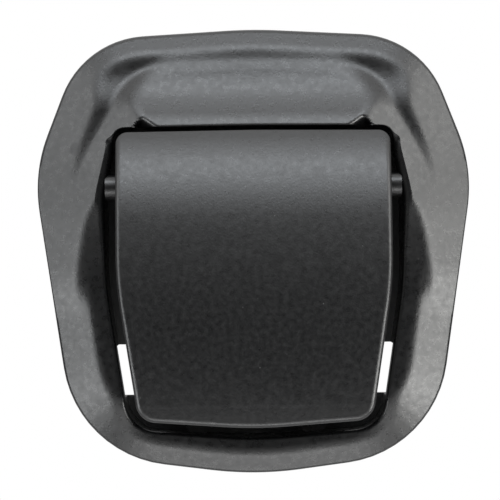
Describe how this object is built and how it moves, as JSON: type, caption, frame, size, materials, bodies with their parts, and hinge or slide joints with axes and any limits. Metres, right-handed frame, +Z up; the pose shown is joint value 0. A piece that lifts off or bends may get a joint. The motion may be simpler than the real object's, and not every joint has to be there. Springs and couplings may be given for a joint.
{
  "type": "car seat recliner lever",
  "caption": "Hooded bezel with a sprung flap that is pulled out from below and pulls a cable to release a car seat's backrest.",
  "frame": {"origin": "centre of the flange's rear face, in the plane that seats on the seat's side trim", "axes": "X to the right and Z up as seen from the front, Y into the seat, so the front faces -Y"},
  "size_m": [0.0862, 0.0444, 0.0883],
  "materials": {
    "bezel_plastic": "black, fine spark-eroded grain",
    "flap_plastic": "black, fine spark-eroded grain",
    "plate_plastic": "black, as moulded",
    "buffer_rubber": "black, matt",
    "pin_steel": "bright drawn",
    "spring_wire": "drawn spring wire",
    "screw_steel": "zinc plated",
    "clip_steel": "phosphated spring steel"
  },
  "bodies": {
    "housing": {"bezel": "bezel_plastic", "back_plate": "plate_plastic", "hinge_pin": "pin_steel", "return_spring": "spring_wire", "bump_stop_left": "buffer_rubber", "bump_stop_right": "buffer_rubber", "screw_upper_left": "screw_steel", "screw_upper_right": "screw_steel", "screw_lower_left": "screw_steel", "screw_lower_right": "screw_steel", "panel_clip_upper_left": "clip_steel", "panel_clip_upper_right": "clip_steel", "panel_clip_lower_left": "clip_steel", "panel_clip_lower_right": "clip_steel"},
    "flap": {"flap": "flap_plastic"}
  },
  "joints": [
    {"name": "flap_hinge", "type": "hinge", "parent": "housing", "child": "flap", "pos_m": [0, -0.005, 0.013], "axis": [-1, 0, 0], "range_deg": [0, 32], "stiffness_Nm_per_rad": 0.15, "springref_deg": -34.38, "deforming": ["return_spring"]}
  ]
}
